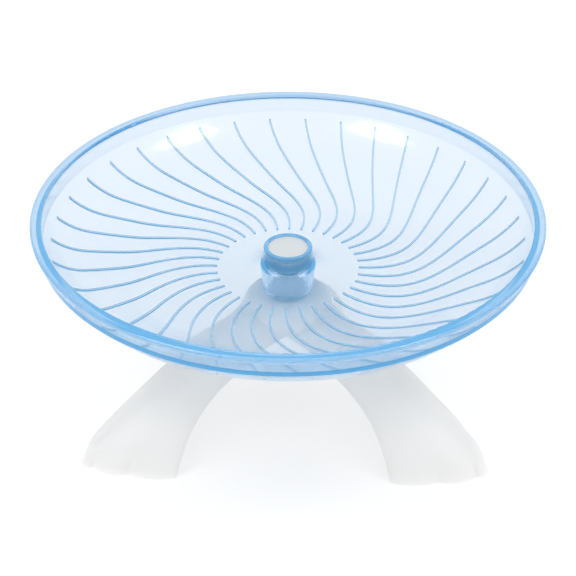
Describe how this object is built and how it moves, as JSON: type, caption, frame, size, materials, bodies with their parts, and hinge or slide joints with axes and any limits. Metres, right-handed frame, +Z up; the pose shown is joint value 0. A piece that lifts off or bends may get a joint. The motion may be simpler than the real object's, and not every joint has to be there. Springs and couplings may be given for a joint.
{
  "type": "flying saucer hamster wheel",
  "caption": "Running saucer for a small pet: a clear ribbed bowl that turns flat on a ball bearing, above a frosted stand with arched legs.",
  "frame": {"origin": "on the floor, under the axis that the bowl turns about", "axes": "+Z up along the spin axis; +Y along one of the stand's legs; the other legs are 120 degrees to each side"},
  "size_m": [0.18, 0.18, 0.0865],
  "materials": {
    "tinted_clear": "clear moulded plastic, lightly tinted blue, glossy",
    "frosted_stand": "frosted translucent white moulded plastic, satin",
    "frosted_cap": "frosted off-white moulded plastic",
    "bearing_steel": "ground bearing steel",
    "ball_steel": "polished steel balls",
    "shield_steel": "pressed steel sheet",
    "spindle_steel": "turned steel",
    "clip_steel": "spring steel, darkened",
    "washer_steel": "zinc-plated steel",
    "washer_plastic": "natural nylon",
    "cage_plastic": "moulded nylon"
  },
  "bodies": {
    "stand": {"stand": "frosted_stand", "spindle": "spindle_steel", "retaining_clip": "clip_steel", "thrust_washer": "washer_plastic", "head_washer": "washer_steel", "bearing_inner_ring": "bearing_steel"},
    "saucer": {"saucer": "tinted_clear", "hub_cap": "frosted_cap", "bearing_outer_ring": "bearing_steel", "bearing_upper_shield": "shield_steel", "bearing_lower_shield": "shield_steel"},
    "cage": {"bearing_cage": "cage_plastic", "bearing_balls": "ball_steel"}
  },
  "joints": [
    {"name": "saucer_spin", "type": "hinge", "parent": "stand", "child": "saucer", "pos_m": [0, 0, 0.0643], "axis": [0, 0, 1], "continuous": true},
    {"name": "cage_spin", "type": "hinge", "parent": "stand", "child": "cage", "pos_m": [0, 0, 0.0643], "axis": [0, 0, 1], "continuous": true}
  ],
  "couplings": [
    {"joint": "cage_spin", "follows": "saucer_spin", "ratio": 0.6064}
  ]
}
